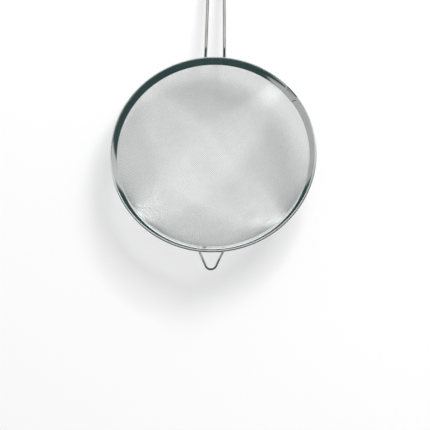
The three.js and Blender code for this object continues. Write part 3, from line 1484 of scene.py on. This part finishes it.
@dataclass
class Studio:
    """Pale table, lamps and the dark room that the steel reflects.

    Attributes:
        table_radius: radius of the table that the steel reflects, in metres.
        floor_radius: radius of the floor round it, in metres.
        sheet_level: height of both, a hair under the sieve, in metres.
        sheet_sides: straight edges round a sheet.
        room_radius: radius of the dark room, in metres.
        room_dip: angle that the room's wall reaches below the table.
        room_rings: rings of points up the wall.
        room_columns: columns of points round the wall.
        ambient: soft light from all round.
        paper: colour of the table.
        room: colour of the room's walls.
    """

    table_radius: float = 0.6
    floor_radius: float = 14.0
    sheet_level: float = -0.0001
    sheet_sides: int = 128
    room_radius: float = 4.0
    room_dip: float = 0.08
    room_rings: int = 24
    room_columns: int = 72
    ambient: float = 0.63
    paper: Colour = (0.93, 0.93, 0.93)
    room: Colour = (0.028, 0.049, 0.048)

    def lamps(self) -> list[Softbox]:
        """Return the lamps."""
        return [
            Softbox(name="key", azimuth=56.0, elevation=62.0, level=0.60, rays=Rays.MATT),
            Softbox(name="key_sheen", azimuth=62.0, elevation=66.0, level=1.4, rays=Rays.SHEEN),
        ]

    def panels(self) -> list[Panel]:
        """Return the pale panels of the room."""
        return [
            Panel(azimuths=(142.0, 214.0), elevations=(-4.0, 45.0), level=0.42),
            Panel(azimuths=(25.0, 44.0), elevations=(-4.0, 40.0), level=0.56),
            Panel(azimuths=(46.0, 150.0), elevations=(37.0, 57.0), level=1.1, blur=4.0),
        ]

    def build(self, target: Vector, cloth: list[bpy.types.Object]) -> None:
        """Set up the table, the room and the lamps.

        Args:
            target: the rim's centre, which the lamps face.
            cloth: the pieces of the cloth.
        """
        table = self._disc("table_sheet", 0.0, self.table_radius)
        floor = self._disc("far_floor", self.table_radius, self.floor_radius)
        floor.visible_glossy = False
        paper = self._paper_material()
        for sheet in (table, floor):
            sheet.data.materials.append(paper)
        room = self._room_shell()
        cloth_pieces = bpy.data.collections.new("cloth_pieces")
        for piece in cloth:
            cloth_pieces.objects.link(piece)
        for lamp in self.lamps():
            lamp.build(target, cloth_pieces)
        self._world()

    def _disc(self, name: str, inner: float, outer: float) -> bpy.types.Object:
        """Add a flat ring on the table's level.

        Args:
            name: name of the sheet.
            inner: radius of its hole.
            outer: outer radius.

        Returns:
            The sheet.
        """
        count = self.sheet_sides
        angles = np.linspace(0.0, 2 * math.pi, count, endpoint=False)
        circle = np.stack([np.cos(angles), np.sin(angles), np.zeros_like(angles)], axis=1)
        level = np.array([0.0, 0.0, self.sheet_level])
        mesh = bpy.data.meshes.new(name)
        if inner > 0:
            points = np.concatenate([circle * outer + level, circle * inner + level])
            faces = [(i, (i + 1) % count, count + (i + 1) % count, count + i) for i in range(count)]
        else:
            points, faces = circle * outer + level, [tuple(range(count))]
        mesh.from_pydata(points.tolist(), [], faces)
        made = bpy.data.objects.new(name, mesh)
        bpy.context.scene.collection.objects.link(made)
        return made

    def _paper_material(self) -> bpy.types.Material:
        """Build the matt paper of the table.

        Returns:
            The material.
        """
        made = bpy.data.materials.new("table_paper")
        made.use_nodes = True
        tree = NodeTree(made.node_tree)
        shader = made.node_tree.nodes["Principled BSDF"]
        place = tree.node("ShaderNodeTexCoord").outputs["Object"]
        fleck = tree.node("ShaderNodeTexNoise", {"Vector": place, "Scale": 900.0, "Detail": 2.0}).outputs[0]
        pale = (*self.paper, 1.0)
        grey = (*(0.985 * c for c in self.paper), 1.0)
        made.node_tree.links.new(tree.mix(fleck, grey, pale), shader.inputs["Base Color"])
        shader.inputs["Roughness"].default_value = 0.9
        shader.inputs["Specular IOR Level"].default_value = 0.1
        return made

    def _room_shell(self) -> bpy.types.Object:
        """Add the dark room, which only reflections see.

        Returns:
            The shell of the room.
        """
        rings, columns = self.room_rings, self.room_columns
        rise = np.linspace(-self.room_dip, math.pi / 2, rings)
        turn = np.linspace(0.0, 2 * math.pi, columns, endpoint=False)
        points = np.stack(
            [
                np.cos(rise)[:, None] * np.cos(turn),
                np.cos(rise)[:, None] * np.sin(turn),
                np.sin(rise)[:, None] + 0 * turn,
            ],
            axis=2,
        )
        number = np.arange(rings * columns).reshape(rings, columns)
        beside = np.roll(number, -1, axis=1)
        faces = np.stack([number[:-1], number[1:], beside[1:], beside[:-1]], axis=2)
        mesh = bpy.data.meshes.new("dark_room")
        corners = points.reshape(-1, 3) * self.room_radius
        mesh.from_pydata(corners.tolist(), [], faces.reshape(-1, 4).tolist())
        mesh.materials.append(self._room_material())
        made = bpy.data.objects.new("dark_room", mesh)
        for ray in ("camera", "diffuse", "transmission", "volume_scatter", "shadow"):
            setattr(made, "visible_" + ray, False)
        bpy.context.scene.collection.objects.link(made)
        return made

    def _room_material(self) -> bpy.types.Material:
        """Build the room's walls: dark, with a little clouding and the pale panels.

        Returns:
            The material.
        """
        made = bpy.data.materials.new("room_wall")
        made.use_nodes = True
        made.node_tree.nodes.clear()
        tree = NodeTree(made.node_tree)
        place = tree.node("ShaderNodeTexCoord").outputs["Object"]
        cloud = tree.node("ShaderNodeTexNoise", {"Vector": place, "Scale": 0.6, "Detail": 1.0}).outputs[0]
        lighter = (*(1.6 * c for c in self.room), 1.0)
        shade = tree.mix(cloud, (*self.room, 1.0), lighter)
        axes = tree.node("ShaderNodeSeparateXYZ", {0: place}).outputs
        rise = tree.math("DEGREES", tree.math("ARCSINE", tree.math("DIVIDE", axes[2], self.room_radius)))
        for panel in self.panels():
            white = (panel.level, panel.level, panel.level, 1.0)
            shade = tree.mix(panel.inside(tree, axes[0], axes[1], rise), shade, white)
        glow = tree.node("ShaderNodeEmission", {"Color": shade, "Strength": 1.0})
        tree.node("ShaderNodeOutputMaterial", {0: glow.outputs[0]})
        made.cycles.emission_sampling = "NONE"
        return made

    def _world(self) -> None:
        """Set a white surround for the eye, and a soft light from all round."""
        world = bpy.data.worlds.new("studio")
        bpy.context.scene.world = world
        world.use_nodes = True
        tree = NodeTree(world.node_tree)
        sky = world.node_tree.nodes["Background"]
        sky.inputs["Color"].default_value = (1.0, 1.0, 1.0, 1.0)
        path = tree.node("ShaderNodeLightPath")
        seen = tree.math("MAXIMUM", path.outputs["Is Camera Ray"], path.outputs["Is Glossy Ray"])
        seen = tree.math("MAXIMUM", seen, path.outputs["Is Transmission Ray"])
        world.node_tree.links.new(tree.spread(seen, self.ambient, 1.0), sky.inputs["Strength"])


@dataclass(frozen=True)
class BeadHoop:
    """The stiffening hoop inside the bead, which keeps the part's own mesh.

    Attributes:
        steel: its finish.
    """

    steel: Steel = HOOP_STEEL

    def dress(self, node: bpy.types.Object) -> None:
        """Give the hoop its drawn steel.

        Args:
            node: the hoop's node.
        """
        node.data.materials.clear()
        node.data.materials.append(self.steel.material())
        LOG.info("%s: dressed", node.name)


def main() -> None:
    """Build the sieve, the studio and the camera."""
    logging.basicConfig(level=logging.INFO, format="%(name)s %(message)s")
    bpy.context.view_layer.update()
    rim = RimFrame.from_record(frame["record"])
    shape = RimShape()
    wires = BentWires(shape)
    cloth = WovenCloth(shape).build(rim)
    RimBand(shape, wires).build(rim)
    wires.build(rim)
    BeadHoop().dress(frame["nodes"]["rim_hoop_wire"])
    Studio().build(rim.centre(), cloth)
    PhotoCamera().build(rim)
    bpy.context.scene.view_settings.view_transform = "Standard"


if __name__ == "__main__":
    main()
